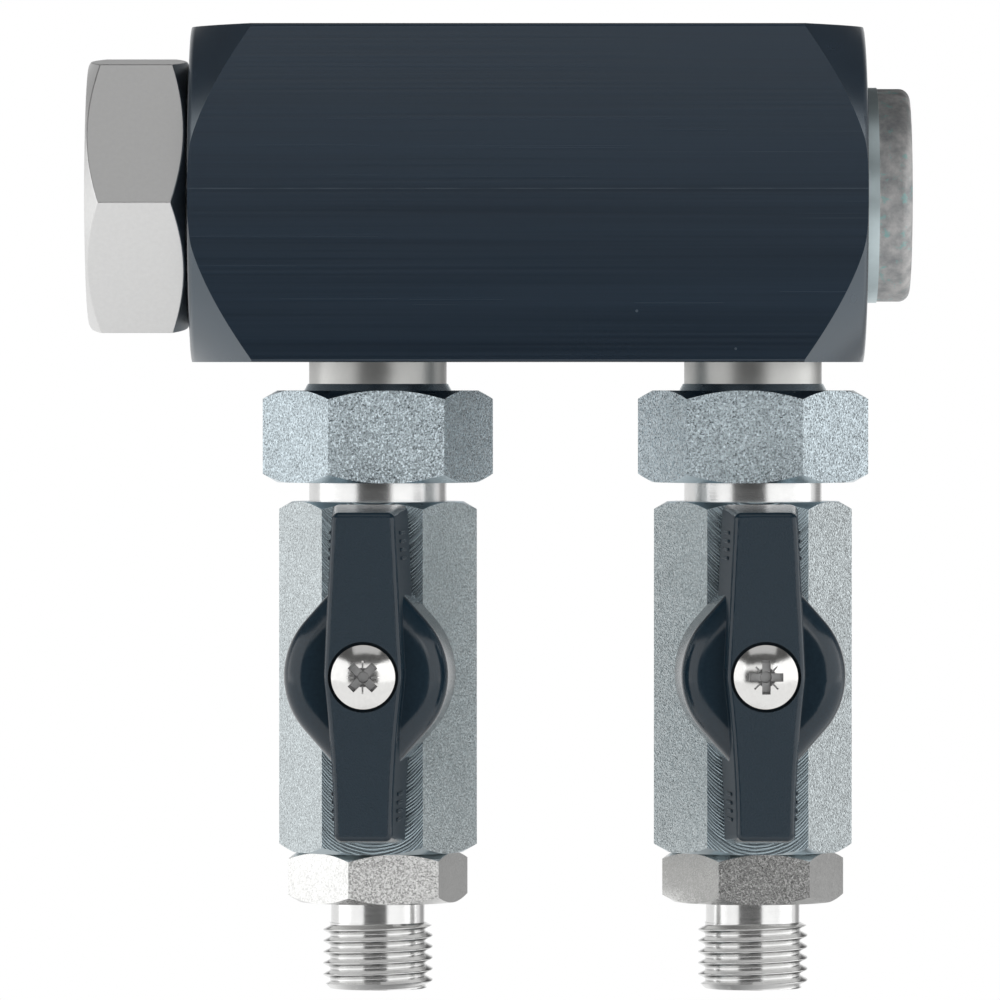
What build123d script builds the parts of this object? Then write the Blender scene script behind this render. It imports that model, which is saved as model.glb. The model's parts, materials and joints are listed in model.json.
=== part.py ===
from build123d import *
from dataclasses import dataclass
from math import asin, cos, degrees, radians, sin, sqrt, tan
import os

# Two-outlet compressed-air manifold with two mini ball valves. Millimetres, +Z up.
# Origin: the centre of the inlet's sealing face. +X runs along the block to the blanking
# plug, -Y is the front, where the levers are, and the two branches hang down along -Z.

# ---- clearances ------------------------------------------------------------------------
running_clearance = 0.05     # radial, between a turning piece and what it turns in
thread_clearance = 0.05      # radial, between the plain cylinders that stand for a thread pair
seat_clearance = 0.10        # between the ball and its seats
fit_clearance = 0.05         # radial, between a ring and the bore that holds it
cutting_margin = 1.0         # how far a cutting outline reaches past its stock

# ---- distribution block ----------------------------------------------------------------
block_width = 40.0           # square bar
block_end_radius = 20.5      # what the turned end chamfer leaves of the end face
block_chamfer_angle = 45.0
block_end_rounding = 2.2     # rounding where the chamfer meets the end face
block_edge_radius = 0.4
main_bore_radius = 7.5

# ---- G 1/2 end ports, shared by the inlet tail and the blanking plug --------------------
port_thread_radius = 9.9     # pitch radius of G 1/2
inlet_port_depth = 10.0
plug_port_depth = 8.5

# ---- inlet: tail, loose G 3/4 union nut and flat seal -----------------------------------
inlet_nut_flats = 32.0
inlet_nut_face_radius = 15.9
inlet_nut_vertex_turn = -3.6  # degrees that the front corner has dropped
inlet_thread_radius = 12.06  # minor radius of G 3/4
inlet_thread_length = 6.0
inlet_lead_in = 0.6
inlet_relief_radius = 12.6
inlet_nut_wall = 2.0         # the nut's inner collar
inlet_nut_play = 0.3         # along the tail
inlet_nut_side_play = 0.55   # around the tail's neck: the nut hangs loose
inlet_nut_gap = 0.3          # between the nut and the block
inlet_seal_thickness = 1.5
inlet_seal_radius = 11.7
inlet_seal_bore_radius = 7.6
inlet_flange_thickness = 1.6
inlet_flange_radius = 11.7
inlet_neck_radius = 10.15
inlet_tail_bore_radius = 7.0

# ---- blanking plug ---------------------------------------------------------------------
plug_head_radius = 12.75
plug_head_thickness = 3.95
plug_head_rounding = 1.3
plug_shank_length = 7.5      # in the block
plug_socket_flats = 10.0
plug_socket_depth = 5.0
washer_radius = 12.9
washer_thickness = 1.55
washer_bore_radius = 10.2

# ---- branches: place along the block, and how far each piece was turned when tightened ---
left_branch_offset = 22.3    # from the block's inlet end
branch_spacing = 45.0
plug_end_margin = 13.2       # from the last branch to the block's plug end
branch_passage_radius = 5.5

# ---- branch tail -----------------------------------------------------------------------
tail_thread_radius = 7.5     # pitch radius of M16 x 1.5
tail_spigot_length = 8.0
tail_port_depth = 8.3
tail_neck_radius = 8.25
tail_bore_radius = 5.0
tail_flange_radius = 9.3
tail_flange_thickness = 1.8

# ---- branch union nut, M20 x 1.5 -------------------------------------------------------
nut_flats = 24.0
nut_face_radius = 12.1
nut_length = 11.0
nut_top_depth = 3.4          # below the block
nut_collar_height = 0.8
nut_collar_radius = 8.85
nut_collar_edge = 0.12       # wall left at the collar's sharp upper edge
nut_wall = 2.4
nut_thread_radius = 9.5      # pitch radius of M20 x 1.5
nut_lead_in = 0.5
union_seal_thickness = 1.5
union_seal_bore_radius = 5.4

# ---- ball valve body -------------------------------------------------------------------
body_flats = 20.6            # 13/16 in bar
body_face_radius = 10.3
body_length = 42.0
body_top_depth = 16.7
body_milled_depth = 0.17     # taken off the front flat
spigot_relief_length = 2.7   # plain neck between the spigot's thread and the hexagon
bore_radius = 5.0
stem_drop = 20.3             # from the hexagon's top to the stem's axis
ball_radius = 8.0
chamber_radius = 8.15
seat_backing = 8.5           # from the stem's axis to the back of each seat
seat_overlap = 5.0           # from the stem's axis to the front of each seat
retainer_length = 4.0
retainer_radius = 8.4
retainer_slot_width = 2.0
retainer_slot_depth = 1.5
outlet_port_radius = 8.7
boss_radius = 6.0
boss_height = 3.0
stop_radius = 7.1            # outside of the stop lugs on the boss
stop_width_angle = 44.0      # of each lug; two on the boss and two in the lever leave 90 degrees

# ---- stem ------------------------------------------------------------------------------
stem_radius = 3.0
stem_flange_radius = 4.6
stem_flange_thickness = 1.05
stem_washer_thickness = 0.6
stem_wall = 0.2              # the body's wall between the thrust washer and the milled face
stem_square = 4.8
stem_length_in_lever = 9.4
stem_tang_width = 3.0
stem_tang_depth = 2.0
ball_slot_clearance = 0.1
o_ring_section = 1.2
o_ring_groove_depth = 1.0
o_ring_groove_width = 1.5

# ---- lever -----------------------------------------------------------------------------
lever_front = 26.5           # from the valve's axis to the grip's flat front
lever_body_gap = 0.35        # between the hub's rim and the milled face
lever_half_length = 19.3
lever_root_half_width = 4.65
lever_top_half_width = 3.65
lever_bottom_half_width = 3.40
lever_waist_depth = 0.28     # how far the lower arm's sides curve in
lever_root_radius = 12.0
lever_corner_radius = 0.9
lever_edge_rounding = 0.75
lever_arm_depth = 12.0
lever_draft = 3.8            # moulding draft, degrees
lever_core_wall = 1.9
lever_core_start = 10.8      # from the stem's axis
lever_core_depth = 8.5
lever_core_radius = 0.8
hub_radius = 9.95            # at the rim
hub_draft = 1.2              # degrees
hub_rounding = 2.8           # of the hub's front edge
hub_web_angle = 41.4         # where the webs' straight sides leave the round hub
hub_web_half_width = 4.0     # of the webs where they end inside the arms
hub_top = 23.8               # from the valve's axis
hub_cavity_clearance = 0.4   # around the boss and its lugs
recess_radius = 4.15
recess_depth = 1.6

# ---- lever screw, M4 pan head ----------------------------------------------------------
screw_head_radius = 3.78
screw_head_height = 2.6
screw_head_edge = 1.5        # height of the head's upright rim
screw_radius = 2.0
screw_length = 9.0
screw_slot_width = 0.95
screw_slot_reach = 2.15
screw_slot_depth = 1.4
screw_hole_clearance = 0.15

# ---- outlet nipple, G 1/4 --------------------------------------------------------------
nipple_flats = 19.0
nipple_face_radius = 9.5
nipple_hex_height = 6.0
nipple_relief_radius = 5.62
nipple_relief_length = 2.5
outlet_thread_radius = 6.578
outlet_thread_length = 7.9
outlet_thread_chamfer = 0.8
outlet_bore_radius = 4.0
outlet_seal_thickness = 1.2
outlet_seal_bore_radius = 5.4

# ---- positions worked out from the sizes above ------------------------------------------
inlet_mouth = -(inlet_thread_length + inlet_lead_in)
inlet_flange_back = inlet_seal_thickness + inlet_flange_thickness
inlet_collar_face = inlet_flange_back + inlet_nut_play
inlet_nut_back = inlet_collar_face + inlet_nut_wall
block_start = inlet_nut_back + inlet_nut_gap
left_branch_x = block_start + left_branch_offset
right_branch_x = left_branch_x + branch_spacing
block_end = right_branch_x + plug_end_margin
block_length = block_end - block_start
block_bottom = -block_width / 2
nut_seat_depth = nut_top_depth + nut_wall
tail_end_depth = nut_seat_depth + tail_flange_thickness
spigot_top_depth = tail_end_depth + union_seal_thickness
nut_bottom_depth = nut_top_depth + nut_length
stem_depth = body_top_depth + stem_drop
body_end_depth = body_top_depth + body_length
retainer_depth = stem_depth + seat_backing
outlet_port_top = retainer_depth + retainer_length
nipple_top_depth = outlet_port_top + outlet_seal_thickness
nipple_hex_end = body_end_depth + nipple_hex_height
outlet_thread_top = nipple_hex_end + nipple_relief_length
outlet_end_depth = outlet_thread_top + outlet_thread_length
milled_face = body_flats / 2 - body_milled_depth
boss_face = milled_face + boss_height
stem_washer_seat = milled_face - stem_wall
stem_flange_front = stem_washer_seat - stem_washer_thickness - running_clearance
stem_flange_back = stem_flange_front - stem_flange_thickness
hub_base = milled_face + lever_body_gap
hub_floor = boss_face + lever_body_gap
stem_end = hub_floor + stem_length_in_lever
screw_seat = lever_front - recess_depth
o_ring_middle = (milled_face + boss_face) / 2


@dataclass
class Branch:
    """One outlet branch: where it hangs and how its pieces are turned about its axis."""

    side: str
    x: float
    valve_turn: float
    nut_turn: float
    nipple_turn: float

    def section(self, depth, turn=0.0):
        """Horizontal plane facing down, `depth` below the block."""
        direction = (cos(radians(turn)), sin(radians(turn)), 0)
        return Plane((self.x, 0, block_bottom - depth), x_dir=direction, z_dir=(0, 0, -1))

    @property
    def profile(self):
        """Plane through the branch's axis: x is the radius, y the depth below the block."""
        return Plane((self.x, 0, block_bottom), x_dir=(1, 0, 0), z_dir=(0, 1, 0))

    @property
    def axis(self):
        return Axis((self.x, 0, block_bottom), (0, 0, 1))

    @property
    def front(self):
        """Direction from the valve's axis to its lever."""
        return Vector(sin(radians(self.valve_turn)), -cos(radians(self.valve_turn)), 0)

    @property
    def across(self):
        return Vector(cos(radians(self.valve_turn)), sin(radians(self.valve_turn)), 0)

    @property
    def stem_centre(self):
        return Vector(self.x, 0, block_bottom - stem_depth)

    @property
    def stem_axis(self):
        return Axis(self.stem_centre, self.front)

    @property
    def stem_profile(self):
        """Plane through the stem's axis: x is the reach to the front, y the radius."""
        return Plane(self.stem_centre, x_dir=self.front, z_dir=-self.across)

    def facing(self, reach):
        """Plane across the stem's axis that faces the front: x to the right, y up."""
        return Plane(self.stem_centre + self.front * reach, x_dir=self.across, z_dir=self.front)


branches = [
    Branch("left", left_branch_x, valve_turn=-3.1, nut_turn=5.4, nipple_turn=11.9),
    Branch("right", right_branch_x, valve_turn=1.9, nut_turn=-6.0, nipple_turn=6.8),
]


# ---- shared operations -----------------------------------------------------------------
def turn(points, plane, axis, mode=Mode.ADD):
    """Revolve a closed outline of straight lines about an axis that lies in its plane."""
    with BuildSketch(plane) as outline:
        with BuildLine():
            Polyline(*points, close=True)
        make_face()
    revolve(outline.sketch, axis=axis, mode=mode)


def chamfered_hexagon(plane, flats, length, face_radius):
    """A hexagon bar standing on `plane`, its corners turned off at 30 degrees at both ends."""
    with BuildSketch(plane) as outline:
        RegularPolygon(flats / 2, 6, major_radius=False)
    extrude(outline.sketch, amount=length)
    reach = flats / sqrt(3) + cutting_margin
    fall = (reach - face_radius) * tan(radians(30))
    rise = Plane(plane.origin, x_dir=plane.x_dir, z_dir=-plane.y_dir)
    turned_bar = [
        (0, 0),
        (face_radius, 0),
        (reach, fall),
        (reach, length - fall),
        (face_radius, length),
        (0, length),
    ]
    turn(turned_bar, rise, Axis(plane.origin, plane.z_dir), mode=Mode.INTERSECT)


def bore(plane, radius, depth):
    """A round hole from `plane`, along its normal."""
    with BuildSketch(plane) as mouth:
        Circle(radius)
    extrude(mouth.sketch, amount=depth, mode=Mode.SUBTRACT)


def ring(plane, outer, inner, thickness):
    """A flat ring standing on `plane`."""
    with BuildSketch(plane) as face:
        Circle(outer)
        Circle(inner, mode=Mode.SUBTRACT)
    extrude(face.sketch, amount=thickness)


def save(name, part):
    """Label a finished piece and write it to its own file."""
    part.label = name
    export_step(part, f"parts/{name}.step")


# ---- block, inlet and plug -------------------------------------------------------------
def make_block():
    """Square bar with turned end chamfers, a main bore, two end ports and two branch ports."""
    corner_reach = block_width / sqrt(2) + cutting_margin
    fall = (corner_reach - block_end_radius) * tan(radians(block_chamfer_angle))
    with BuildPart() as block:
        with BuildSketch(Plane.YZ.offset(block_start)):
            RectangleRounded(block_width, block_width, block_edge_radius)
        extrude(amount=block_length)
        with BuildSketch(Plane.XZ) as turned:
            with BuildLine():
                Polyline(
                    (block_start, 0),
                    (block_start, block_end_radius),
                    (block_start + fall, corner_reach),
                    (block_end - fall, corner_reach),
                    (block_end, block_end_radius),
                    (block_end, 0),
                    close=True,
                )
            make_face()
            end_corners = turned.vertices().group_by(Axis.Y)[1]
            fillet(end_corners, radius=block_end_rounding)
        revolve(axis=Axis.X, mode=Mode.INTERSECT)
        bore(Plane.YZ.offset(block_start), main_bore_radius, block_length)
        port_radius = port_thread_radius + thread_clearance
        bore(Plane.YZ.offset(block_start), port_radius, inlet_port_depth)
        bore(Plane.YZ.offset(block_end - plug_port_depth), port_radius, plug_port_depth)
        for branch in branches:
            port = branch.section(-tail_port_depth)
            bore(port, tail_thread_radius + thread_clearance, tail_port_depth)
            bore(branch.section(block_bottom), branch_passage_radius, -block_bottom)
    save("manifold_block", block.part)


def make_inlet_tail():
    """Threaded tail in the block's end, whose flange holds the loose union nut."""
    thread_end = block_start + inlet_port_depth
    outline = [
        (inlet_seal_thickness, inlet_tail_bore_radius),
        (inlet_seal_thickness, inlet_flange_radius),
        (inlet_flange_back, inlet_flange_radius),
        (inlet_flange_back, inlet_neck_radius),
        (block_start, inlet_neck_radius),
        (block_start, port_thread_radius),
        (thread_end, port_thread_radius),
        (thread_end, inlet_tail_bore_radius),
    ]
    with BuildPart() as tail:
        turn(outline, Plane.XZ, Axis.X)
    save("inlet_tail", tail.part)


def make_inlet_seal():
    with BuildPart() as seal:
        ring(Plane.YZ, inlet_seal_radius, inlet_seal_bore_radius, inlet_seal_thickness)
    save("inlet_seal", seal.part)


def make_inlet_union_nut():
    """Hexagon union nut that spins on the tail's neck behind the flange."""
    hole_radius = inlet_neck_radius + inlet_nut_side_play
    corner = (0, -cos(radians(inlet_nut_vertex_turn)), sin(radians(inlet_nut_vertex_turn)))
    mouth = Plane((inlet_mouth, 0, 0), x_dir=corner, z_dir=(1, 0, 0))
    hollow = [
        (inlet_mouth, 0),
        (inlet_mouth, inlet_thread_radius + inlet_lead_in),
        (inlet_mouth + inlet_lead_in, inlet_thread_radius),
        (0, inlet_thread_radius),
        (0, inlet_relief_radius),
        (inlet_collar_face, inlet_relief_radius),
        (inlet_collar_face, hole_radius),
        (inlet_nut_back, hole_radius),
        (inlet_nut_back, 0),
    ]
    with BuildPart() as nut:
        chamfered_hexagon(mouth, inlet_nut_flats, inlet_nut_back - inlet_mouth, inlet_nut_face_radius)
        turn(hollow, Plane.XZ, Axis.X, mode=Mode.SUBTRACT)
    save("inlet_union_nut", nut.part)


def make_end_plug():
    """Flanged screw plug with a hexagon socket."""
    head_start = block_end + washer_thickness
    head_end = head_start + plug_head_thickness
    with BuildPart() as plug:
        with BuildSketch(Plane.YZ.offset(head_start)):
            Circle(plug_head_radius)
        extrude(amount=plug_head_thickness)
        fillet(plug.faces().sort_by(Axis.X)[-1].edges(), radius=plug_head_rounding)
        with BuildSketch(Plane.YZ.offset(block_end - plug_shank_length)):
            Circle(port_thread_radius)
        extrude(amount=plug_shank_length + washer_thickness)
        with BuildSketch(Plane.YZ.offset(head_end - plug_socket_depth)):
            RegularPolygon(plug_socket_flats / 2, 6, major_radius=False)
        extrude(amount=plug_socket_depth, mode=Mode.SUBTRACT)
    save("end_plug", plug.part)


def make_end_plug_washer():
    with BuildPart() as washer:
        ring(Plane.YZ.offset(block_end), washer_radius, washer_bore_radius, washer_thickness)
    save("end_plug_washer", washer.part)


# ---- branch connection -----------------------------------------------------------------
def make_branch_tail(branch):
    """Tail screwed into the block; its flange is drawn down by the union nut."""
    outline = [
        (tail_bore_radius, -tail_spigot_length),
        (tail_thread_radius, -tail_spigot_length),
        (tail_thread_radius, 0),
        (tail_neck_radius, 0),
        (tail_neck_radius, nut_seat_depth),
        (tail_flange_radius, nut_seat_depth),
        (tail_flange_radius, tail_end_depth),
        (tail_bore_radius, tail_end_depth),
    ]
    with BuildPart() as tail:
        turn(outline, branch.profile, branch.axis)
    save(f"{branch.side}_branch_tail", tail.part)


def make_union_nut(branch):
    """Hexagon union nut with a small conical collar where the tail enters it."""
    hole_radius = tail_neck_radius + fit_clearance
    thread_radius = nut_thread_radius + thread_clearance
    collar_top = nut_top_depth - nut_collar_height
    collar = [
        (0, collar_top),
        (hole_radius + nut_collar_edge, collar_top),
        (nut_collar_radius, nut_top_depth),
        (0, nut_top_depth),
    ]
    hollow = [
        (0, collar_top),
        (hole_radius, collar_top),
        (hole_radius, nut_seat_depth),
        (thread_radius, nut_seat_depth),
        (thread_radius, nut_bottom_depth - nut_lead_in),
        (thread_radius + nut_lead_in, nut_bottom_depth),
        (0, nut_bottom_depth),
    ]
    with BuildPart() as nut:
        top = branch.section(nut_top_depth, branch.nut_turn)
        chamfered_hexagon(top, nut_flats, nut_length, nut_face_radius)
        turn(collar, branch.profile, branch.axis)
        turn(hollow, branch.profile, branch.axis, mode=Mode.SUBTRACT)
    save(f"{branch.side}_union_nut", nut.part)


def make_union_seal(branch):
    with BuildPart() as seal:
        ring(
            branch.section(tail_end_depth),
            tail_flange_radius,
            union_seal_bore_radius,
            union_seal_thickness,
        )
    save(f"{branch.side}_union_seal", seal.part)


# ---- ball valve ------------------------------------------------------------------------
def lug_sectors(plane, middle_angle, outer, inner, depth, mode):
    """Two opposed ring sectors, `stop_width_angle` wide, standing on `plane`."""
    start = middle_angle - stop_width_angle / 2
    for opposed in (0, 180):
        with BuildSketch(plane) as lug:
            with BuildLine():
                rim = CenterArc((0, 0), outer, start + opposed, stop_width_angle)
                root = CenterArc((0, 0), inner, start + opposed, stop_width_angle)
                Line(rim @ 0, root @ 0)
                Line(rim @ 1, root @ 1)
            make_face()
        extrude(lug.sketch, amount=depth, mode=mode)


def make_valve_body(branch):
    """Hexagon body with a threaded spigot, ball chamber, stem boss and outlet port."""
    spigot_thread_end = body_top_depth - spigot_relief_length
    spigot = [
        (0, spigot_top_depth),
        (nut_thread_radius, spigot_top_depth),
        (nut_thread_radius, spigot_thread_end),
        (tail_neck_radius, spigot_thread_end),
        (tail_neck_radius, body_top_depth),
        (0, body_top_depth),
    ]
    waterway = [
        (0, spigot_top_depth),
        (bore_radius, spigot_top_depth),
        (bore_radius, stem_depth - seat_backing),
        (chamber_radius, stem_depth - seat_backing),
        (chamber_radius, retainer_depth),
        (retainer_radius + thread_clearance, retainer_depth),
        (retainer_radius + thread_clearance, outlet_port_top),
        (outlet_port_radius + thread_clearance, outlet_port_top),
        (outlet_port_radius + thread_clearance, body_end_depth),
        (0, body_end_depth),
    ]
    with BuildPart() as body:
        top = branch.section(body_top_depth, branch.valve_turn)
        chamfered_hexagon(top, body_flats, body_length, body_face_radius)
        with BuildSketch(branch.facing(milled_face)):
            Rectangle(body_flats * 2, body_length * 2)
        extrude(amount=body_flats, mode=Mode.SUBTRACT)
        turn(spigot, branch.profile, branch.axis)
        with BuildSketch(branch.facing(milled_face)):
            Circle(boss_radius)
        extrude(amount=boss_height)
        lug_sectors(branch.facing(milled_face), 90, stop_radius, boss_radius, boss_height, Mode.ADD)
        turn(waterway, branch.profile, branch.axis, mode=Mode.SUBTRACT)
        bore(branch.facing(0), stem_flange_radius + running_clearance, stem_washer_seat)
        bore(branch.facing(0), stem_radius + running_clearance, boss_face)
    save(f"{branch.side}_valve_body", body.part)


def make_ball(branch):
    """Bored ball with a slot for the stem's tang, across the bore."""
    with BuildPart() as ball:
        with BuildSketch(branch.stem_profile):
            with BuildLine():
                CenterArc((0, 0), ball_radius, 0, 180)
                Line((-ball_radius, 0), (ball_radius, 0))
            make_face()
        revolve(axis=branch.stem_axis)
        bore(branch.section(stem_depth - ball_radius), bore_radius, 2 * ball_radius)
        with BuildSketch(branch.facing(ball_radius - stem_tang_depth)):
            Rectangle(2 * ball_radius, stem_tang_width + 2 * ball_slot_clearance)
        extrude(amount=stem_tang_depth, mode=Mode.SUBTRACT)
    save(f"{branch.side}_ball", ball.part)


def make_seat(branch, name, backing_side):
    """Soft seat whose conical face touches the ball; backing_side is -1 above it, 1 below."""
    contact_reach = (seat_backing + seat_overlap) / 2
    slope_radius = ball_radius + seat_clearance
    lean = seat_overlap / slope_radius
    # The conical face is tangent to the ball, clear of it by the seat clearance.
    inner_edge = (slope_radius - contact_reach * lean) / sqrt(1 - lean**2)
    outer_edge = (slope_radius - seat_overlap * lean) / sqrt(1 - lean**2)
    outside = chamber_radius - fit_clearance
    outline = [
        (bore_radius, seat_backing),
        (outside, seat_backing),
        (outside, seat_overlap),
        (outer_edge, seat_overlap),
        (inner_edge, contact_reach),
        (bore_radius, contact_reach),
    ]
    placed = [(radius, stem_depth + backing_side * reach) for radius, reach in outline]
    with BuildPart() as seat:
        turn(placed, branch.profile, branch.axis)
    save(f"{branch.side}_{name}", seat.part)


def make_seat_retainer(branch):
    """Threaded ring that holds the seats on the ball, with two spanner slots."""
    with BuildPart() as retainer:
        ring(branch.section(retainer_depth), retainer_radius, bore_radius, retainer_length)
        slots = branch.section(outlet_port_top - retainer_slot_depth)
        with BuildSketch(slots):
            Rectangle(2 * retainer_radius, retainer_slot_width)
        extrude(amount=retainer_slot_depth, mode=Mode.SUBTRACT)
    save(f"{branch.side}_seat_retainer", retainer.part)


def make_stem(branch):
    """Blow-out-proof stem: tang, inner flange, sealed shaft and square end tapped for the screw."""
    groove_radius = stem_radius - o_ring_groove_depth
    groove_back = o_ring_middle - o_ring_groove_width / 2
    groove_front = o_ring_middle + o_ring_groove_width / 2
    shaft = [
        (stem_flange_back, 0),
        (stem_flange_back, stem_flange_radius),
        (stem_flange_front, stem_flange_radius),
        (stem_flange_front, stem_radius),
        (groove_back, stem_radius),
        (groove_back, groove_radius),
        (groove_front, groove_radius),
        (groove_front, stem_radius),
        (boss_face, stem_radius),
        (boss_face, 0),
    ]
    tang_back = ball_radius - stem_tang_depth
    with BuildPart() as stem:
        turn(shaft, branch.stem_profile, branch.stem_axis)
        with BuildSketch(branch.facing(tang_back)):
            Rectangle(2 * stem_flange_radius, stem_tang_width)
            Circle(stem_flange_radius, mode=Mode.INTERSECT)
        extrude(amount=stem_flange_back - tang_back)
        with BuildSketch(branch.facing(boss_face)):
            Rectangle(stem_square, stem_square)
            Circle(stem_radius, mode=Mode.INTERSECT)
        extrude(amount=stem_end - boss_face)
        bore(branch.facing(screw_seat - screw_length), screw_radius, screw_length)
    save(f"{branch.side}_stem", stem.part)


def make_stem_washer(branch):
    with BuildPart() as washer:
        ring(
            branch.facing(stem_washer_seat - stem_washer_thickness),
            stem_flange_radius,
            stem_radius + running_clearance,
            stem_washer_thickness,
        )
    save(f"{branch.side}_stem_washer", washer.part)


def make_stem_o_ring(branch):
    """O-ring in the stem's groove, squeezed to the groove's depth."""
    half_depth = o_ring_groove_depth / 2
    with BuildPart() as o_ring:
        with BuildSketch(branch.stem_profile):
            with Locations((o_ring_middle, stem_radius - half_depth)):
                Ellipse(o_ring_section / 2, half_depth)
        revolve(axis=branch.stem_axis)
    save(f"{branch.side}_stem_o_ring", o_ring.part)


# ---- lever -----------------------------------------------------------------------------
def grip_section(plane, growth):
    """The grip's outline, widest at the screw, drawn `growth` mm larger all round."""
    end = lever_half_length + growth
    root = lever_root_half_width + growth
    top = lever_top_half_width + growth
    bottom = lever_bottom_half_width + growth
    waist = (root + bottom) / 2 - lever_waist_depth
    with BuildSketch(plane) as section:
        with BuildLine():
            Line((-top, end), (top, end))
            Line((top, end), (root, 0))
            ThreePointArc((root, 0), (waist, -end / 2), (bottom, -end))
            Line((bottom, -end), (-bottom, -end))
            ThreePointArc((-bottom, -end), (-waist, -end / 2), (-root, 0))
            Line((-root, 0), (-top, end))
        make_face()
        roots = section.vertices().group_by(Axis.Y)[1]
        fillet(roots, radius=lever_root_radius)
        rows = section.vertices().group_by(Axis.Y)
        fillet(rows[0] + rows[-1], radius=lever_corner_radius)
    return section.sketch


def arm_core(plane, sign):
    """Core-out under one arm: a rounded slot that follows the arm's taper."""
    end_half_width = lever_top_half_width if sign > 0 else lever_bottom_half_width
    slot_half_width = end_half_width - lever_core_wall
    slot_end = lever_half_length - lever_core_wall
    middle = (slot_end + lever_core_start) / 2
    with BuildSketch(plane) as slot:
        with Locations((0, sign * middle)):
            RectangleRounded(2 * slot_half_width, slot_end - lever_core_start, lever_core_radius)
    extrude(slot.sketch, amount=lever_core_depth, mode=Mode.SUBTRACT)


def hub_section(plane, radius):
    """The hub's outline: a round with webs whose straight sides run into the arms."""
    web_angle = radians(hub_web_angle)
    touch = (radius * cos(web_angle), radius * sin(web_angle))
    web_reach = (radius - hub_web_half_width * cos(web_angle)) / sin(web_angle)
    with BuildSketch(plane) as section:
        Circle(radius)
        with BuildLine():
            Polyline(
                (hub_web_half_width, web_reach),
                touch,
                (touch[0], -touch[1]),
                (hub_web_half_width, -web_reach),
                (-hub_web_half_width, -web_reach),
                (-touch[0], -touch[1]),
                (-touch[0], touch[1]),
                (-hub_web_half_width, web_reach),
                close=True,
            )
        make_face()
    return section.sketch


def make_lever(branch):
    """Moulded wing lever: round hub with webs, a flat-fronted grip and a screw recess."""
    draft = tan(radians(lever_draft))
    arm_back = lever_front - lever_arm_depth
    hub_height = hub_top - hub_base
    hub_top_radius = hub_radius - hub_height * tan(radians(hub_draft))
    boss_clear_radius = stop_radius + hub_cavity_clearance
    with BuildPart() as lever:
        # Hub and webs, rounded along their front edge except where they end inside the arms.
        hub_back = hub_section(branch.facing(hub_base), hub_radius)
        hub_front = hub_section(branch.facing(hub_top), hub_top_radius)
        loft([hub_back, hub_front])
        hub_face = lever.faces().sort_by(branch.stem_axis)[-1]
        fillet(hub_face.edges().sort_by(Axis.Z)[1:-1], radius=hub_rounding)
        # Grip, drafted away from its front face.
        front_section = grip_section(branch.facing(lever_front), 0)
        back_section = grip_section(branch.facing(arm_back), lever_arm_depth * draft)
        loft([back_section, front_section])
        grip_front = lever.faces().sort_by(branch.stem_axis)[-1]
        fillet(grip_front.edges(), radius=lever_edge_rounding)
        # Recess for the screw's head, its hole and the square socket for the stem.
        bore(branch.facing(screw_seat), recess_radius, recess_depth)
        bore(branch.facing(stem_end), screw_radius + screw_hole_clearance, screw_seat - stem_end)
        with BuildSketch(branch.facing(hub_floor)):
            Rectangle(stem_square + 2 * fit_clearance, stem_square + 2 * fit_clearance)
            Circle(stem_radius + fit_clearance, mode=Mode.INTERSECT)
        extrude(amount=stem_end - hub_floor, mode=Mode.SUBTRACT)
        # Cavity around the boss, with the two lugs that meet the boss's lugs at the stops.
        bore(branch.facing(hub_base), boss_clear_radius, hub_floor - hub_base)
        lug_root = boss_radius + hub_cavity_clearance
        lug_sectors(
            branch.facing(hub_base), 45, boss_clear_radius, lug_root, hub_floor - hub_base, Mode.ADD
        )
        for sign in (-1, 1):
            arm_core(branch.facing(arm_back), sign)
    save(f"{branch.side}_lever", lever.part)


def make_lever_screw(branch):
    """Pan-head screw with a cross recess, threaded into the stem."""
    rim_front = screw_seat + screw_head_edge
    head_front = screw_seat + screw_head_height
    crown = screw_head_height - screw_head_edge
    crown_radius = (screw_head_radius**2 + crown**2) / (2 * crown)
    crown_angle = degrees(asin(screw_head_radius / crown_radius))
    with BuildPart() as screw:
        with BuildSketch(branch.stem_profile):
            with BuildLine():
                Polyline(
                    (head_front, 0),
                    (screw_seat - screw_length, 0),
                    (screw_seat - screw_length, screw_radius - thread_clearance),
                    (screw_seat, screw_radius - thread_clearance),
                    (screw_seat, screw_head_radius),
                    (rim_front, screw_head_radius),
                )
                CenterArc((head_front - crown_radius, 0), crown_radius, 0, crown_angle)
            make_face()
        revolve(axis=branch.stem_axis)
        with BuildSketch(branch.facing(head_front - screw_slot_depth)):
            with PolarLocations(0, 2):
                Rectangle(2 * screw_slot_reach, screw_slot_width)
        extrude(amount=screw_slot_depth, mode=Mode.SUBTRACT)
    save(f"{branch.side}_lever_screw", screw.part)


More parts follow.
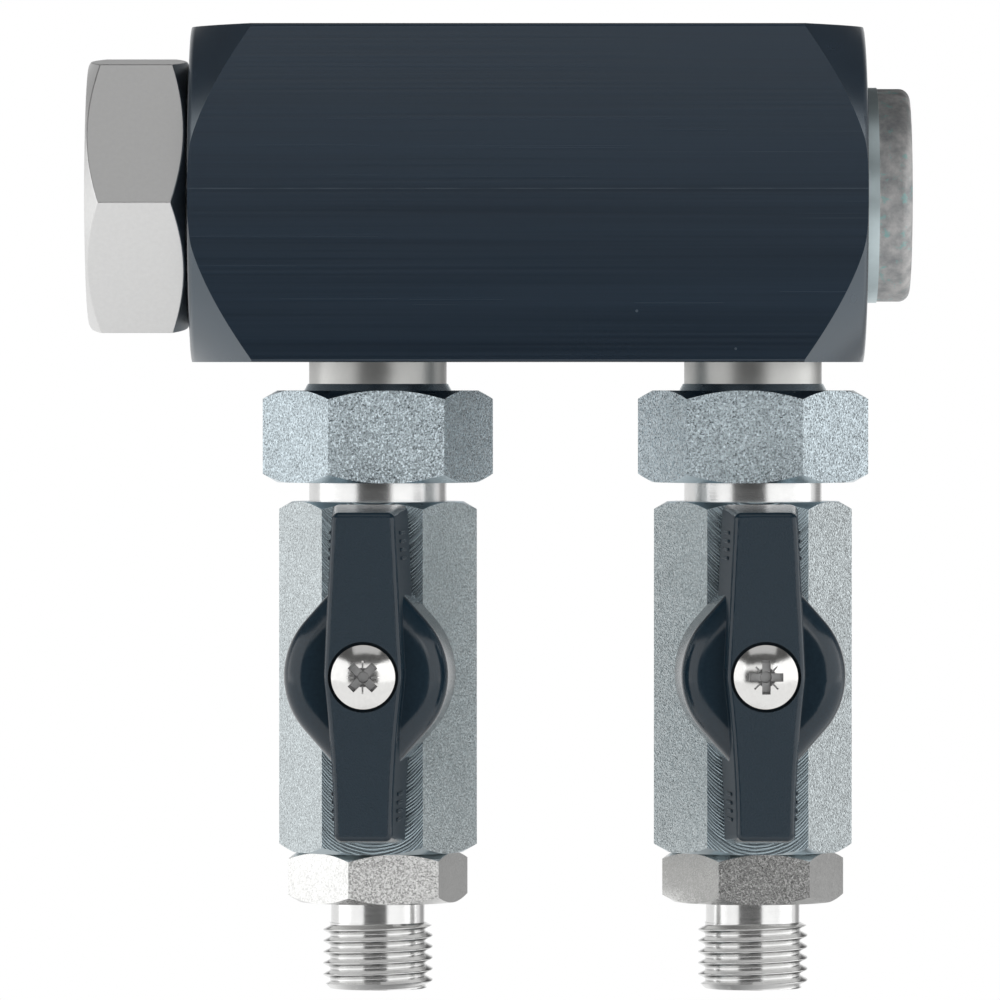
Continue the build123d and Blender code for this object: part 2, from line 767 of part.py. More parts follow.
# ---- outlet ----------------------------------------------------------------------------
def make_outlet_nipple(branch):
    """Hexagon nipple: spigot in the valve's outlet port, relief neck and G 1/4 thread."""
    stem = [
        (0, nipple_top_depth),
        (outlet_port_radius, nipple_top_depth),
        (outlet_port_radius, body_end_depth),
        (0, body_end_depth),
    ]
    thread = [
        (0, nipple_hex_end),
        (nipple_relief_radius, nipple_hex_end),
        (nipple_relief_radius, outlet_thread_top),
        (outlet_thread_radius, outlet_thread_top),
        (outlet_thread_radius, outlet_end_depth - outlet_thread_chamfer),
        (outlet_thread_radius - outlet_thread_chamfer, outlet_end_depth),
        (0, outlet_end_depth),
    ]
    with BuildPart() as nipple:
        top = branch.section(body_end_depth, branch.nipple_turn)
        chamfered_hexagon(top, nipple_flats, nipple_hex_height, nipple_face_radius)
        turn(stem, branch.profile, branch.axis)
        turn(thread, branch.profile, branch.axis)
        bore(branch.section(nipple_top_depth), outlet_bore_radius, outlet_end_depth - nipple_top_depth)
    save(f"{branch.side}_outlet_nipple", nipple.part)


def make_outlet_seal(branch):
    with BuildPart() as seal:
        ring(
            branch.section(outlet_port_top),
            outlet_port_radius,
            outlet_seal_bore_radius,
            outlet_seal_thickness,
        )
    save(f"{branch.side}_outlet_seal", seal.part)


os.makedirs("parts", exist_ok=True)
make_block()
make_inlet_tail()
make_inlet_seal()
make_inlet_union_nut()
make_end_plug()
make_end_plug_washer()
for branch in branches:
    make_branch_tail(branch)
    make_union_nut(branch)
    make_union_seal(branch)
    make_valve_body(branch)
    make_ball(branch)
    make_seat(branch, "upper_seat", -1)
    make_seat(branch, "lower_seat", 1)
    make_seat_retainer(branch)
    make_stem(branch)
    make_stem_washer(branch)
    make_stem_o_ring(branch)
    make_lever(branch)
    make_lever_screw(branch)
    make_outlet_seal(branch)
    make_outlet_nipple(branch)
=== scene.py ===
import bmesh
import bpy
import json
from contextlib import contextmanager
from itertools import product
from math import asin, atan2, ceil, cos, pi, radians, sin, sqrt, tan
from mathutils import Matrix, Vector


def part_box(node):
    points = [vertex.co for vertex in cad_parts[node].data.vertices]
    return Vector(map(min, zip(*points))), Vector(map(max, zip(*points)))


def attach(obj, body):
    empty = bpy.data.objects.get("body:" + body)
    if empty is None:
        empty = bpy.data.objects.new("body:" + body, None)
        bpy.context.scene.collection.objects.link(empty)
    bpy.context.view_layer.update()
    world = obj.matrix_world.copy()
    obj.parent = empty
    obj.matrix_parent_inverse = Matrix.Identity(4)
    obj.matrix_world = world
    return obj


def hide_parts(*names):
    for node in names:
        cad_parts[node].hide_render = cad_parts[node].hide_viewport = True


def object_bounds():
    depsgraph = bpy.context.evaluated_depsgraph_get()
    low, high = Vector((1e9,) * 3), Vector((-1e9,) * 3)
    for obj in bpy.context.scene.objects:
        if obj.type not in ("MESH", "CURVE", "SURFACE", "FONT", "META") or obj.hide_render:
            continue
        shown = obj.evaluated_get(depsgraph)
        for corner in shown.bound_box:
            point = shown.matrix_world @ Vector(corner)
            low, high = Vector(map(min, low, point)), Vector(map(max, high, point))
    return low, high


bl_info = {
    "name": "Two-outlet air manifold",
    "version": (1, 0, 0),
    "blender": (4, 5, 0),
    "location": "3D View > Sidebar > Manifold",
    "description": "Models and finishes a compressed-air manifold with two ball valves",
    "category": "Add Mesh",
}

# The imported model, in metres: +X runs along the block, -Y is the front, +Z is up.
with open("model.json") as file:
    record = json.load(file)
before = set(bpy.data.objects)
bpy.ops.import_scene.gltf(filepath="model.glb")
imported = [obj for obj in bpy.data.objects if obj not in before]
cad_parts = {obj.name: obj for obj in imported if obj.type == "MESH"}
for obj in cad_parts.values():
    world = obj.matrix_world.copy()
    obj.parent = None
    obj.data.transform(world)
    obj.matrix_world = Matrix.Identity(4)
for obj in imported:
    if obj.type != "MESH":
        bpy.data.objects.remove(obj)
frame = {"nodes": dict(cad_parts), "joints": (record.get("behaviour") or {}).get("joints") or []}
bpy.context.view_layer.update()
cad_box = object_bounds()

MM = 0.001
MIDDLE = 42.65 * MM      # along the block, where the camera and the lamps look
SIDES = ("left", "right")
ROUND = 128              # segments of a full turn
THREAD_STEPS = 96        # segments of one turn of a thread
MERGE = 0.002 * MM       # vertices closer than this are one
THREAD_DEPTH = 0.640327  # of a pipe thread, for each unit of pitch


# ---- working on one piece --------------------------------------------------------------
def only(piece):
    """Select this piece alone and make it the active one."""
    bpy.ops.object.select_all(action="DESELECT")
    piece.select_set(True)
    bpy.context.view_layer.objects.active = piece
    return piece


@contextmanager
def editing(piece):
    """Edit mode on this piece alone."""
    only(piece)
    bpy.ops.object.mode_set(mode="EDIT")
    yield
    bpy.ops.object.mode_set(mode="OBJECT")


def pick_faces(piece, test):
    """In edit mode, select the faces that pass a test."""
    bpy.ops.mesh.select_mode(type="FACE")
    bpy.ops.mesh.select_all(action="DESELECT")
    mesh = bmesh.from_edit_mesh(piece.data)
    for face in mesh.faces:
        face.select_set(test(face))
    bmesh.update_edit_mesh(piece.data)


def clean(piece):
    """Close seams and poles, and point every face outwards."""
    with editing(piece):
        bpy.ops.mesh.select_all(action="SELECT")
        bpy.ops.mesh.remove_doubles(threshold=MERGE)
        bpy.ops.mesh.normals_make_consistent(inside=False)
    return piece


def place(piece, turn=0.0, location=(0, 0, 0), tilt=(0, 0, 0)):
    """Turn a piece about Z, tilt it and move it, and leave its place in its mesh."""
    only(piece)
    piece.data.transform(Matrix.Rotation(turn, 4, "Z"))
    piece.rotation_euler = tilt
    piece.location = location
    bpy.ops.object.transform_apply()
    return piece


def combine(piece, tool, operation):
    """Join, cut or trim a piece with a tool's shape, and throw the tool away."""
    only(piece)
    bpy.ops.object.modifier_add(type="BOOLEAN")
    boolean = piece.modifiers[-1]
    boolean.operation = operation
    boolean.solver = "EXACT"
    boolean.object = tool
    bpy.ops.object.modifier_apply(modifier=boolean.name)
    bpy.data.objects.remove(tool)
    return piece


def round_edges(piece, width, segments=3, angle=radians(24)):
    """Round the sharp edges by `width`."""
    only(piece)
    bpy.ops.object.modifier_add(type="BEVEL")
    bevel = piece.modifiers[-1]
    bevel.limit_method = "ANGLE"
    bevel.angle_limit = angle
    bevel.width = width
    bevel.segments = segments
    bpy.ops.object.modifier_apply(modifier=bevel.name)


def smooth(piece):
    """Shade the curved faces smooth and keep edges over 40 degrees sharp."""
    only(piece)
    bpy.ops.object.shade_smooth_by_angle(angle=radians(40))


def settle_normals(piece):
    """Let the large faces set the normals, so that the flats look flat."""
    only(piece)
    bpy.ops.object.modifier_add(type="WEIGHTED_NORMAL")
    weighted = piece.modifiers[-1]
    weighted.keep_sharp = True
    bpy.ops.object.modifier_apply(modifier=weighted.name)
    return piece


def soften(piece, width, segments=3, angle=radians(24)):
    """Round the sharp edges of a finished shape and settle its shading."""
    smooth(piece)
    round_edges(piece, width, segments, angle)
    return settle_normals(piece)


def duplicate(piece, name):
    """The same shape again, with a mesh of its own."""
    copy = bpy.data.objects.new(name, piece.data.copy())
    bpy.context.scene.collection.objects.link(copy)
    return copy


def copy_of(node_name):
    """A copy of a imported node's mesh, its loose triangles joined and its flats made whole."""
    piece = duplicate(frame["nodes"][node_name], node_name + "_dressed")
    piece.data.materials.clear()
    with editing(piece):
        bpy.ops.mesh.customdata_custom_splitnormals_clear()
        bpy.ops.mesh.select_all(action="SELECT")
        bpy.ops.mesh.remove_doubles(threshold=MERGE)
        bpy.ops.mesh.dissolve_limited(angle_limit=radians(0.4))
    return piece


def hand_over(piece, node_name, body):
    """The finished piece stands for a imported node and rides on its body."""
    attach(piece, body)
    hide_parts(node_name)


def paint(piece, material, test=None):
    """Give a material to the whole piece, or to the faces that pass a test."""
    piece.data.materials.append(material)
    index = len(piece.data.materials) - 1
    for face in piece.data.polygons:
        if test is None or test(face):
            face.material_index = index


def paint_node(node_name, material):
    """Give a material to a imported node."""
    for slot in frame["nodes"][node_name].material_slots:
        slot.material = material


# ---- shapes ----------------------------------------------------------------------------
def disc(name, radius, height, segments=ROUND, filled="NGON"):
    """A flat disc or ring of edges at a height, the start of a turned shape."""
    bpy.ops.object.select_all(action="DESELECT")
    bpy.ops.mesh.primitive_circle_add(
        vertices=segments, radius=radius, fill_type=filled, location=(0, 0, height)
    )
    piece = bpy.context.object
    piece.name = name
    bpy.ops.object.transform_apply()
    return piece


def turned(name, outline, segments=ROUND):
    """A solid turned about Z: a disc extruded and scaled through (radius, height) points."""
    radius, height = outline[0]
    piece = disc(name, radius, height, segments)
    with editing(piece):
        for next_radius, next_height in outline[1:]:
            bpy.ops.mesh.extrude_region_move(
                TRANSFORM_OT_translate={"value": (0, 0, next_height - height)}
            )
            grow = next_radius / radius
            bpy.ops.transform.resize(value=(grow, grow, 1), center_override=(0, 0, next_height))
            radius, height = next_radius, next_height
    return clean(piece)


def hexagon(name, flats, low, high, face_radius):
    """A hexagon bar from `low` to `high`, a flat towards -Y, its ends turned off at 30 degrees."""
    corner = flats / sqrt(3)
    bpy.ops.object.select_all(action="DESELECT")
    bpy.ops.mesh.primitive_cylinder_add(
        vertices=6,
        radius=corner,
        depth=high - low,
        location=(0, 0, (low + high) / 2),
        rotation=(0, 0, radians(30)),
    )
    bar = bpy.context.object
    bar.name = name
    bpy.ops.object.transform_apply()
    reach = corner * 1.1
    fall = (reach - face_radius) * tan(radians(30))
    beyond = 1 * MM
    tip = face_radius - beyond / tan(radians(30))
    blank = turned(
        name + "_blank",
        [(tip, low - beyond), (reach, low + fall), (reach, high - fall), (tip, high + beyond)],
    )
    return combine(bar, blank, "INTERSECT")


def thread_profile(major, pitch):
    """One pitch of the 55 degree pipe thread, from the middle of one root to the next."""
    flank = radians(27.5)
    minor = major - THREAD_DEPTH * pitch
    crest = 0.085 * pitch
    quarter = pi / 2 - flank
    steps = 3
    rounded = []
    for step in range(2 * steps + 1):
        angle = quarter * (step / steps - 1)
        rounded.append((major - crest + crest * cos(angle), pitch / 2 + crest * sin(angle)))
    foot_radius = minor + 0.04 * pitch
    run = (rounded[-1][0] - foot_radius) * tan(flank)
    foot = rounded[0][1] - run
    lower = [(minor, 0), (minor, foot / 2), (foot_radius, foot)]
    upper = [(foot_radius, pitch - foot), (minor, pitch - foot / 2), (minor, pitch)]
    return lower + rounded + upper


def drawn_line(name, points):
    """An open line of edges: one vertex extruded from point to point."""
    bpy.ops.object.select_all(action="DESELECT")
    bpy.ops.mesh.primitive_plane_add(size=MM)
    line = bpy.context.object
    line.name = name
    with editing(line):
        bpy.ops.mesh.select_mode(type="VERT")
        bpy.ops.mesh.select_all(action="SELECT")
        bpy.ops.mesh.merge(type="CENTER")
        bpy.ops.transform.translate(value=points[0])
        for here, there in zip(points, points[1:]):
            bpy.ops.mesh.extrude_region_move(TRANSFORM_OT_translate={"value": there - here})
    return line


def threaded_rod(name, major, pitch, low, high):
    """A threaded rod: one pitch carried up by a Screw modifier and cut flat at both ends."""
    profile = thread_profile(major, pitch)
    turns = ceil((high - low) / pitch) + 4
    start = low - 2 * pitch
    rod = drawn_line(name, [Vector((radius, 0, start + height)) for radius, height in profile])
    only(rod)
    bpy.ops.object.modifier_add(type="SCREW")
    screw = rod.modifiers[-1]
    screw.axis = "Z"
    screw.screw_offset = pitch
    screw.iterations = turns
    screw.steps = THREAD_STEPS
    screw.render_steps = THREAD_STEPS
    screw.use_merge_vertices = True
    screw.merge_threshold = MERGE
    bpy.ops.object.modifier_apply(modifier=screw.name)
    clean(rod)
    with editing(rod):
        for height, outward in ((low, -1), (high, 1)):
            bpy.ops.mesh.select_all(action="SELECT")
            bpy.ops.mesh.bisect(
                plane_co=(0, 0, height),
                plane_no=(0, 0, outward),
                use_fill=True,
                clear_outer=True,
                threshold=MERGE / 10,
            )
    return clean(rod)


# ---- finishes --------------------------------------------------------------------------
class Number:
    """A value that varies over a surface; arithmetic on it adds Math nodes."""

    def __init__(self, finish, socket):
        self.finish = finish
        self.socket = socket

    def __add__(self, other):
        return self.finish.maths("ADD", self, other)

    def __sub__(self, other):
        return self.finish.maths("SUBTRACT", self, other)

    def __rsub__(self, other):
        return self.finish.maths("SUBTRACT", other, self)

    def __mul__(self, other):
        return self.finish.maths("MULTIPLY", self, other)

    def __truediv__(self, other):
        return self.finish.maths("DIVIDE", self, other)


class Finish:
    """A node tree under construction, for a material or for the world."""

    def __init__(self, owner):
        owner.use_nodes = True
        self.owner = owner
        self.tree = owner.node_tree
        self.tree.nodes.clear()

    def node(self, kind, settings=None, inputs=None):
        """Add any node: its settings first, then a value or a link for each input."""
        node = self.tree.nodes.new("ShaderNode" + kind)
        for name, value in (settings or {}).items():
            setattr(node, name, value)
        for name, value in (inputs or {}).items():
            self.feed(node.inputs[name], value)
        return node

    def feed(self, socket, value):
        """Link a value that varies to a socket, or set a constant on it."""
        if isinstance(value, Number):
            value = value.socket
        if isinstance(value, bpy.types.NodeSocket):
            self.tree.links.new(value, socket)
        else:
            socket.default_value = value

    def maths(self, operation, *values):
        node = self.node("Math", {"operation": operation}, dict(enumerate(values)))
        return Number(self, node.outputs[0])

    def vector(self, operation, inputs):
        return self.node("VectorMath", {"operation": operation}, inputs).outputs[0]

    def position(self):
        """Object coordinates."""
        return self.node("TexCoord").outputs["Object"]

    def stretched(self, x, y, z):
        """Object coordinates scaled along each axis."""
        return self.vector("MULTIPLY", {0: self.position(), 1: (x, y, z)})

    def moved(self, centre):
        """Object coordinates measured from a point."""
        return self.vector("SUBTRACT", {0: self.position(), 1: centre})

    def parts(self, vector):
        """The three numbers of a vector."""
        split = self.node("SeparateXYZ", None, {0: vector})
        return [Number(self, socket) for socket in split.outputs]

    def noise(self, vector, scale, detail=2.0, rough=0.5):
        inputs = {"Vector": vector, "Scale": scale, "Detail": detail, "Roughness": rough}
        return Number(self, self.node("TexNoise", None, inputs).outputs["Fac"])

    def cells(self, vector, scale):
        inputs = {"Vector": vector, "Scale": scale}
        return Number(self, self.node("TexVoronoi", None, inputs).outputs["Distance"])

    def facets(self, vector, scale, tilt):
        """The surface's normal, tipped at random from one small facet to the next."""
        cell = self.node("TexVoronoi", None, {"Vector": vector, "Scale": scale}).outputs["Color"]
        centred = self.vector("SUBTRACT", {0: cell, 1: (0.5, 0.5, 0.5)})
        tipped = self.vector("SCALE", {0: centred, "Scale": tilt})
        normal = self.node("NewGeometry").outputs["Normal"]
        return self.vector("NORMALIZE", {0: self.vector("ADD", {0: tipped, 1: normal})})

    def between(self, value, low, high, to_low=0.0, to_high=1.0):
        """A smooth step from `to_low` at `low` to `to_high` at `high`."""
        inputs = {"Value": value, "From Min": low, "From Max": high, "To Min": to_low, "To Max": to_high}
        node = self.node("MapRange", {"interpolation_type": "SMOOTHSTEP"}, inputs)
        return Number(self, node.outputs["Result"])

    def mixed(self, share, first, second):
        """A colour between two colours."""
        node = self.node("Mix", {"data_type": "RGBA"})
        sockets = {socket.identifier: socket for socket in node.inputs}
        self.feed(sockets["Factor_Float"], share)
        self.feed(sockets["A_Color"], first)
        self.feed(sockets["B_Color"], second)
        return next(socket for socket in node.outputs if socket.identifier == "Result_Color")

    def bumped(self, height, depth, under=None):
        """A normal that follows a height of 0 to 1, `depth` metres deep."""
        inputs = {"Height": height, "Distance": depth, "Strength": 1.0}
        if under is not None:
            inputs["Normal"] = under
        return self.node("Bump", None, inputs).outputs["Normal"]


def surface(name, inputs):
    """A material with one Principled surface; `inputs` is a function that returns its sockets."""
    finish = Finish(bpy.data.materials.new(name))
    shader = finish.node("BsdfPrincipled", None, inputs(finish))
    finish.node("OutputMaterial", None, {"Surface": shader.outputs[0]})
    return finish.owner


def shade(colour, amount=1.0):
    """A colour made darker or lighter, with full opacity."""
    return (*(channel * amount for channel in colour[:3]), 1.0)


def anodised(colour, roughness):
    """Black anodised drawn bar: faint lines along X, a few scratches and specks of dust."""

    def inputs(finish):
        broad = finish.noise(finish.stretched(5, 300, 300), 1.0, 3.0)
        fine = finish.noise(finish.stretched(12, 2600, 2600), 1.0, 2.0)
        scratch = finish.between(finish.noise(finish.stretched(9, 4200, 4200), 1.0, 1.0), 0.71, 0.8)
        patch = finish.between(finish.noise(finish.stretched(30, 60, 60), 1.0, 2.0), 0.5, 0.62)
        specks = finish.between(finish.cells(finish.position(), 260.0), 0.05, 0.035)
        rare = finish.between(finish.noise(finish.position(), 110.0, 1.0), 0.63, 0.68)
        height = finish.parts(finish.position())[2]
        line = finish.between(finish.maths("ABSOLUTE", height - 0.5 * MM), 0.09 * MM, 0.02 * MM)
        worn = finish.between(finish.noise(finish.stretched(160, 1, 1), 1.0, 2.0), 0.35, 0.6, 0.08, 0.3)
        marks = finish.maths("MAXIMUM", scratch * patch * 0.18, line * worn * 0.7)
        light = finish.maths("MAXIMUM", marks, specks * rare * 0.35)
        tone = finish.mixed(broad * 0.6 + fine * 0.4, shade(colour, 0.4), shade(colour, 1.45))
        return {
            "Base Color": finish.mixed(light, tone, (0.2, 0.26, 0.32, 1.0)),
            "IOR": 1.62,
            "Specular Tint": (0.85, 0.93, 1.0, 1.0),
            "Roughness": fine * 0.16 + broad * 0.1 + roughness,
            "Normal": finish.bumped(fine * 0.7 + broad * 0.3, 0.008 * MM),
        }

    return surface("anodised_bar", inputs)


def anodised_turned(colour, roughness):
    """The same anodising over a lathe-turned chamfer or end face."""

    def inputs(finish):
        rings = finish.noise(finish.stretched(3000, 60, 60), 1.0, 2.0)
        cloud = finish.noise(finish.position(), 150.0, 3.0)
        return {
            "Base Color": finish.mixed(cloud, shade(colour, 0.6), shade(colour, 1.1)),
            "IOR": 2.0,
            "Specular Tint": (0.80, 0.92, 1.0, 1.0),
            "Roughness": cloud * 0.08 + roughness,
            "Normal": finish.bumped(rings, 0.002 * MM),
        }

    return surface("anodised_turned", inputs)


def blasted(name, colour, roughness, grain, depth, sparkle):
    """Blasted and plated metal: a pebbled grain of tiny facets, each tipped its own way."""

    def inputs(finish):
        coarse = finish.noise(finish.position(), 1 / grain, 2.0, 0.55)
        pits = finish.cells(finish.position(), 1.1 / grain)
        cloud = finish.noise(finish.position(), 170.0, 3.0)
        facets = finish.facets(finish.position(), 1.3 / grain, sparkle)
        sheen = finish.between(coarse, 0.3, 0.7, 1.0 - 0.9 * sparkle, 1.0 + 0.6 * sparkle)
        tone = finish.mixed(cloud, shade(colour, 0.88), shade(colour, 1.08))
        return {
            "Base Color": finish.vector("SCALE", {0: tone, "Scale": sheen}),
            "Metallic": 1.0,
            "Roughness": coarse * 0.12 + roughness,
            "Normal": finish.bumped(coarse * 0.6 + pits * 0.4, depth, facets),
        }

    return surface(name, inputs)


def milled(colour, roughness, centre_x, tilt, cutter_radius):
    """A flat faced with an end mill: overlapping arcs left as the cutter fed along the bar."""

    def inputs(finish):
        x, y, z = finish.parts(finish.moved((centre_x, 0, 0)))
        reach = x + y * tilt
        drop = finish.maths("SQRT", finish.maths("MAXIMUM", cutter_radius**2 - reach * reach, 0.0))
        feed = z + drop
        wobble = finish.noise(finish.position(), 260.0, 2.0)
        passes = finish.maths("SINE", feed * (2 * pi / (0.42 * MM)) + wobble * 9.0)
        along = finish.node("CombineXYZ", None, {0: reach * 90.0, 2: feed * 5200.0}).outputs[0]
        scratch = finish.noise(along, 1.0, 2.0)
        return {
            "Base Color": finish.mixed(scratch, shade(colour, 0.7), shade(colour, 1.15)),
            "Metallic": 1.0,
            "Roughness": scratch * 0.2 + roughness,
            "Normal": finish.bumped(passes * 0.25 + scratch, 0.02 * MM),
        }

    return surface("milled_flat", inputs)


def turned_metal(name, colour, roughness, axis):
    """Lathe-turned metal: fine rings across the axis and a faint mottle."""
    across = {"X": (5200, 40, 40), "Z": (40, 40, 5200)}[axis]

    def inputs(finish):
        rings = finish.noise(finish.stretched(*across), 1.0, 2.0)
        mottle = finish.noise(finish.position(), 900.0, 2.0)
        return {
            "Base Color": finish.mixed(mottle, shade(colour, 0.92), shade(colour, 1.05)),
            "Metallic": 1.0,
            "Roughness": rings * 0.07 + mottle * 0.04 + roughness,
            "Normal": finish.bumped(rings, 0.0025 * MM),
        }

    return surface(name, inputs)


def plain_metal(name, colour, roughness, mottle_size, depth):
    """Bright plated metal with a soft mottle."""

    def inputs(finish):
        mottle = finish.noise(finish.position(), 1 / mottle_size, 3.0)
        return {
            "Base Color": finish.mixed(mottle, shade(colour, 0.93), shade(colour, 1.05)),
            "Metallic": 1.0,
            "Roughness": mottle * 0.08 + roughness,
            "Normal": finish.bumped(mottle, depth),
        }

    return surface(name, inputs)


def stained(name, roughness):
    """Old zinc plating: grey patches, with green and cyan stains here and there."""

    def inputs(finish):
        patches = finish.noise(finish.position(), 420.0, 5.0, 0.65)
        stains = finish.between(finish.noise(finish.position(), 700.0, 4.0, 0.7), 0.56, 0.66)
        dull, bright = (0.34, 0.35, 0.36, 1), (0.70, 0.69, 0.68, 1)
        grey = finish.mixed(finish.between(patches, 0.25, 0.75), dull, bright)
        return {
            "Base Color": finish.mixed(stains * 0.6, grey, (0.32, 0.62, 0.60, 1)),
            "Metallic": 1.0,
            "Roughness": patches * 0.25 + roughness,
            "Normal": finish.bumped(patches, 0.05 * MM),
        }

    return surface(name, inputs)


def moulded(name, colour, roughness, grain, depth, ior=1.5):
    """Moulded plastic, smooth or with a spark-eroded grain."""

    def inputs(finish):
        texture = finish.noise(finish.position(), 1 / grain, 2.0, 0.6)
        return {
            "Base Color": finish.mixed(texture, shade(colour, 0.8), shade(colour, 1.25)),
            "IOR": ior,
            "Roughness": texture * 0.1 + roughness,
            "Normal": finish.bumped(texture, depth),
        }

    return surface(name, inputs)


# ---- what the frame says ---------------------------------------------------------------
def centre_of(node_name):
    """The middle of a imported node's box."""
    low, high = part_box(node_name)
    return (low + high) / 2


def front_flat_turn(node_name, reach):
    """How far a hexagon's front flat, at least `reach` from its axis, is turned about Z."""
    centre = centre_of(node_name)
    facing = [
        face
        for face in frame["nodes"][node_name].data.polygons
        if face.normal.y < -0.8 and (face.center - centre).dot(face.normal) > reach
    ]
    normal = max(facing, key=lambda face: face.area).normal
    return atan2(normal.x, -normal.y)


def lever_joint(side):
    """The lever's pivot on the valve's axis and the direction from it to the lever."""
    joint = next(joint for joint in frame["joints"] if joint["child"] == f"{side}_valve_lever")
    return Vector(joint["pos_m"]), -Vector(joint["axis"]).normalized()


def length(name, text, default):
    """A length in millimetres, kept in metres."""
    return bpy.props.FloatProperty(
        name=name, description=text, default=default * MM, min=0, subtype="DISTANCE", unit="LENGTH"
    )


def colour(name, text, default):
    """A colour without its opacity."""
    return bpy.props.FloatVectorProperty(
        name=name, description=text, default=default, min=0, max=1, size=3, subtype="COLOR"
    )


class ManifoldSizes(bpy.types.PropertyGroup):
    edge: length("Edge rounding", "Rounding of machined edges", 0.12)
    inlet_nut_flats: length("Inlet nut", "Across the inlet nut's flats", 32.0)
    inlet_nut_face: length("Inlet nut face", "Radius of the inlet nut's flat face", 15.55)
    inlet_nut_throat: length("Inlet nut throat", "Radius of the inlet nut's hole for the tail", 10.7)
    inlet_thread_radius: length("Inlet thread", "Outside radius of the G 3/4 thread", 13.22)
    inlet_pitch: length("Inlet pitch", "Pitch of the G 3/4 thread", 1.814)
    plug_shank: length("Plug shank", "Radius of the plug's shank", 9.9)
    plug_rounding: length("Plug rounding", "Rounding of the plug's rim", 1.3)
    plug_socket_flats: length("Plug socket", "Across the plug socket's flats", 10.0)
    plug_socket_face: length("Plug socket face", "Radius at the socket tool's ends", 5.3)
    plug_socket_depth: length("Plug socket depth", "Depth of the plug's socket", 5.0)
    union_nut_flats: length("Union nut", "Across the union nuts' flats", 24.0)
    union_nut_face: length("Union nut face", "Radius of the union nuts' flat face", 12.1)
    collar_radius: length("Collar", "Radius of the union nuts' collar", 8.85)
    collar_height: length("Collar height", "Height of the union nuts' collar", 0.8)
    union_thread_radius: length("Union thread", "Inside radius of the union nuts", 9.55)
    union_throat: length("Union throat", "Radius of the union nuts' hole for the tail", 8.3)
    union_shoulder: length("Union shoulder", "Thickness of the union nuts' shoulder", 2.4)
    spigot: length("Spigot", "Height of a valve's spigot over its hexagon", 7.6)
    cutter_radius: length("Cutter", "Radius of the end mill that faced the bodies", 7.6)
    nipple_flats: length("Nipple", "Across the outlet nipples' flats", 19.0)
    outlet_thread_radius: length("Outlet thread", "Outside radius of the G 1/4 thread", 6.578)
    outlet_pitch: length("Outlet pitch", "Pitch of the G 1/4 thread", 1.337)
    screw_seat: length("Screw seat", "From a valve's axis to its lever screw's seat", 24.9)
    screw_shank: length("Screw shank", "Radius of the lever screws' shank", 1.85)
    screw_reach: length("Screw reach", "Length of the lever screws' shank", 9.0)
    screw_head: length("Screw head", "Radius of the lever screws' head", 3.78)
    screw_rim: length("Screw rim", "Height of the head's straight rim", 1.5)
    screw_front: length("Screw front", "Height of the head", 2.6)
    rib_spacing: length("Rib spacing", "From one flank rib to the next", 1.0)
    first_rib: length("First rib", "From a lever's pivot to its nearest flank rib", 13.9)


class ManifoldFinishes(bpy.types.PropertyGroup):
    anodising: colour("Anodising", "Black anodised block", (0.010, 0.026, 0.048))
    zinc: colour("Zinc", "Blue-passivated zinc plating", (0.57, 0.655, 0.70))
    body_zinc: colour("Body zinc", "Blasted zinc of the valve bodies", (0.61, 0.668, 0.685))
    milled_zinc: colour("Milled zinc", "The bodies' milled flats", (0.58, 0.70, 0.76))
    washer_zinc: colour("Washer zinc", "The plug's washer", (0.64, 0.74, 0.76))
    screw_zinc: colour("Screw zinc", "The lever screws", (0.78, 0.775, 0.76))
    # Painted shade: a darker grey for the screws' cross recess, in place of the shade that falls in it
    recess: colour("Recess", "The screws' cross recess", (0.50, 0.50, 0.50))
    nickel: colour("Nickel", "Nickel plating", (0.74, 0.74, 0.735))
    nipple_nickel: colour("Nipple nickel", "The outlet nipples' hexagons", (0.66, 0.66, 0.65))
    steel: colour("Steel", "Bare turned steel", (0.56, 0.56, 0.545))
    plastic: colour("Plastic", "Lever moulding", (0.015, 0.035, 0.054))
    seal: colour("Seal", "Fibre seals", (0.10, 0.13, 0.12))
    seat: colour("Seat", "White ball seats", (0.75, 0.74, 0.70))
    rubber: colour("Rubber", "The stems' O-rings", (0.02, 0.02, 0.02))
    chrome: colour("Chrome", "Polished balls", (0.8, 0.8, 0.8))
    brass: colour("Brass", "Turned stems", (0.72, 0.55, 0.28))


class ManifoldStage(bpy.types.PropertyGroup):
    floor_drop: length("Floor drop", "From the outlets down to the floor", 55.0)
    table_front: length("Table front", "From the valves' axes forward to the floor's edge", 420.0)
    camera_distance: length("Camera distance", "From the camera to the valves' axes", 1200.0)


def settings():
    """The sizes and the finishes that the panel shows."""
    return bpy.context.scene.manifold_sizes, bpy.context.scene.manifold_finishes


# ---- operators -------------------------------------------------------------------------
class MANIFOLD_OT_block(bpy.types.Operator):
    """Finish the anodised distribution block"""

    bl_idname = "manifold.block"
    bl_label = "Block"

    def execute(self, context):
        sizes, finishes = settings()
        block = copy_of("manifold_block")
        soften(block, sizes.edge * 0.8)
        paint(block, anodised(finishes.anodising, 0.11))
        turned_ends = anodised_turned(finishes.anodising, 0.22)
        paint(block, turned_ends, lambda face: abs(face.normal.x) > 0.3)
        hand_over(block, "manifold_block", "manifold")
        return {"FINISHED"}


